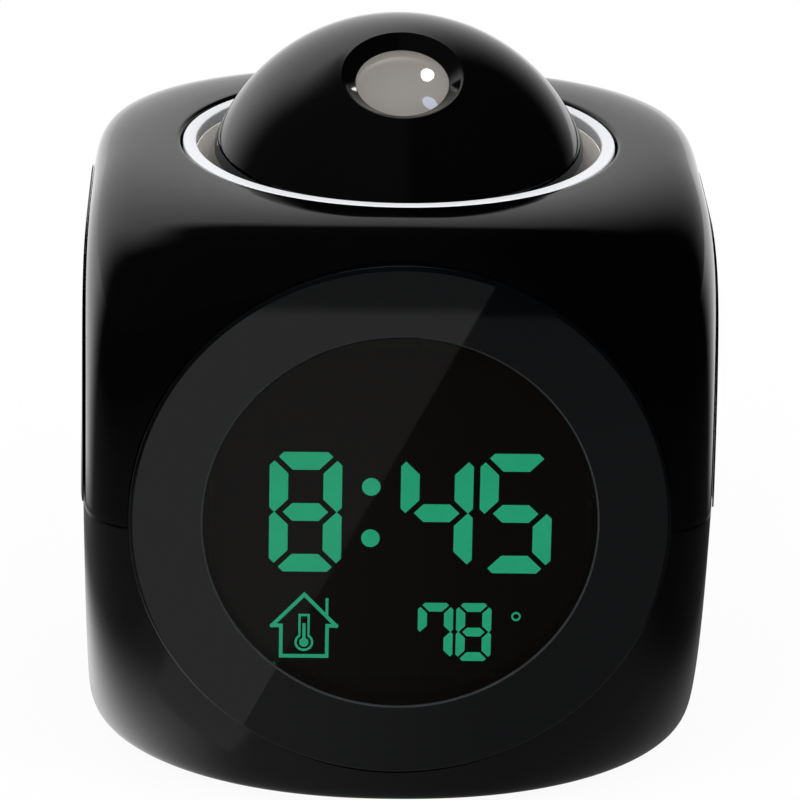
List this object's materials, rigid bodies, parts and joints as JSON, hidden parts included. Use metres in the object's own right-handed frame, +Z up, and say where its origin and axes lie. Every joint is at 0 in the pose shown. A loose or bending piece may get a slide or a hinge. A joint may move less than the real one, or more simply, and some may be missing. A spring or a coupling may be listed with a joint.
{
  "type": "projection alarm clock",
  "caption": "Cube-shaped desk clock with a round green display, a tilting projector ball in a press-down bowl in its top, a rear key panel and a battery base.",
  "frame": {"origin": "centre of the surface that the clock stands on, under the middle of the case", "axes": "+Z up, -Y towards the front with the display, +X to the right when seen from the front"},
  "size_m": [0.082, 0.0821, 0.0948],
  "materials": {
    "upper_shell": "high gloss black",
    "lower_shell": "gloss black, slightly softer",
    "side_panel_left": "high gloss black",
    "side_panel_right": "high gloss black",
    "rubber_feet": "matt",
    "case_screws": "zinc plated",
    "inner_chassis": "matt",
    "front_bezel": "gloss dark grey",
    "display_window": "smoked clear plastic",
    "display_symbols": "lit green",
    "lcd_glass": "dark",
    "lcd_frame": "white",
    "light_guide": "clear",
    "zebra_strips": "pink silicone",
    "main_board": "green solder mask",
    "backlight_leds": "clear",
    "board_parts": "black epoxy",
    "board_screws": "zinc plated",
    "head_retainer": "matt",
    "retainer_screws": "zinc plated",
    "trim_ring": "polished",
    "head_bowl": "vacuum metallised",
    "pivot_pins": "ground",
    "return_springs": "spring wire",
    "snooze_board": "green solder mask",
    "snooze_switch": "black",
    "snooze_plunger": "red",
    "ball_cap": "high gloss black",
    "ball_base": "high gloss black",
    "lens_barrel": "black",
    "projection_lens": "clear",
    "slide_lcd": "clear",
    "condenser_lens": "clear",
    "projector_led": "clear red",
    "projector_board": "green solder mask",
    "rear_panel": "fine texture",
    "key_set": "satin",
    "key_alarm": "satin",
    "key_up": "satin",
    "key_down": "satin",
    "key_switches": "black",
    "key_board": "green solder mask",
    "key_board_screws": "zinc plated",
    "alarm_slider": "satin",
    "slide_switch": "tin plated",
    "speaker_frame": "plated steel",
    "speaker_cone": "film",
    "speaker_magnet": "plated",
    "usb_socket": "nickel plated",
    "power_board": "green solder mask",
    "battery_tray": "matt",
    "battery_door": "fine texture",
    "battery_cells": "printed sleeve, plain",
    "battery_springs": "nickel plated",
    "battery_plates": "nickel plated",
    "head_lead": "grey sleeve",
    "inner_leads": "red sleeve"
  },
  "bodies": {
    "housing": {"upper_shell": "upper_shell", "lower_shell": "lower_shell", "side_panel_left": "side_panel_left", "side_panel_right": "side_panel_right", "rubber_feet": "rubber_feet", "case_screws": "case_screws", "inner_chassis": "inner_chassis", "front_bezel": "front_bezel", "display_window": "display_window", "display_symbols": "display_symbols", "lcd_glass": "lcd_glass", "lcd_frame": "lcd_frame", "light_guide": "light_guide", "zebra_strips": "zebra_strips", "main_board": "main_board", "backlight_leds": "backlight_leds", "board_parts": "board_parts", "board_screws": "board_screws", "head_retainer": "head_retainer", "retainer_screws": "retainer_screws", "return_springs": "return_springs", "snooze_board": "snooze_board", "snooze_switch": "snooze_switch", "rear_panel": "rear_panel", "key_switches": "key_switches", "key_board": "key_board", "key_board_screws": "key_board_screws", "slide_switch": "slide_switch", "speaker_frame": "speaker_frame", "speaker_cone": "speaker_cone", "speaker_magnet": "speaker_magnet", "usb_socket": "usb_socket", "power_board": "power_board", "battery_tray": "battery_tray", "battery_cells": "battery_cells", "battery_springs": "battery_springs", "battery_plates": "battery_plates", "head_lead": "head_lead", "inner_leads": "inner_leads"},
    "head": {"trim_ring": "trim_ring", "head_bowl": "head_bowl", "pivot_pins": "pivot_pins", "snooze_plunger": "snooze_plunger"},
    "ball": {"ball_cap": "ball_cap", "ball_base": "ball_base", "lens_barrel": "lens_barrel", "projection_lens": "projection_lens", "slide_lcd": "slide_lcd", "condenser_lens": "condenser_lens", "projector_led": "projector_led", "projector_board": "projector_board"},
    "key_set": {"key_set": "key_set"},
    "key_alarm": {"key_alarm": "key_alarm"},
    "key_up": {"key_up": "key_up"},
    "key_down": {"key_down": "key_down"},
    "alarm_slider": {"alarm_slider": "alarm_slider"},
    "battery_door": {"battery_door": "battery_door"}
  },
  "joints": [
    {"name": "head_press", "type": "slide", "parent": "housing", "child": "head", "axis": [0, 0, -1], "range_m": [0, 0.0012], "stiffness_N_per_m": 1500, "springref_m": -0.001, "deforming": ["return_springs", "head_lead"]},
    {"name": "ball_tilt", "type": "hinge", "parent": "head", "child": "ball", "pos_m": [0, 0, 0.06885], "axis": [-1, 0, 0], "range_deg": [-32, 86], "deforming": ["head_lead"]},
    {"name": "key_set_press", "type": "slide", "parent": "housing", "child": "key_set", "axis": [0, -1, 0], "range_m": [0, 0.0006], "stiffness_N_per_m": 400, "springref_m": -0.0005},
    {"name": "key_alarm_press", "type": "slide", "parent": "housing", "child": "key_alarm", "axis": [0, -1, 0], "range_m": [0, 0.0006], "stiffness_N_per_m": 400, "springref_m": -0.0005},
    {"name": "key_up_press", "type": "slide", "parent": "housing", "child": "key_up", "axis": [0, -1, 0], "range_m": [0, 0.0006], "stiffness_N_per_m": 400, "springref_m": -0.0005},
    {"name": "key_down_press", "type": "slide", "parent": "housing", "child": "key_down", "axis": [0, -1, 0], "range_m": [0, 0.0006], "stiffness_N_per_m": 400, "springref_m": -0.0005},
    {"name": "alarm_slide", "type": "slide", "parent": "housing", "child": "alarm_slider", "axis": [1, 0, 0], "range_m": [0, 0.003]},
    {"name": "battery_door_swing", "type": "hinge", "parent": "housing", "child": "battery_door", "pos_m": [0, -0.0168, 0.0008], "axis": [-1, 0, 0], "range_deg": [0, 60]}
  ]
}
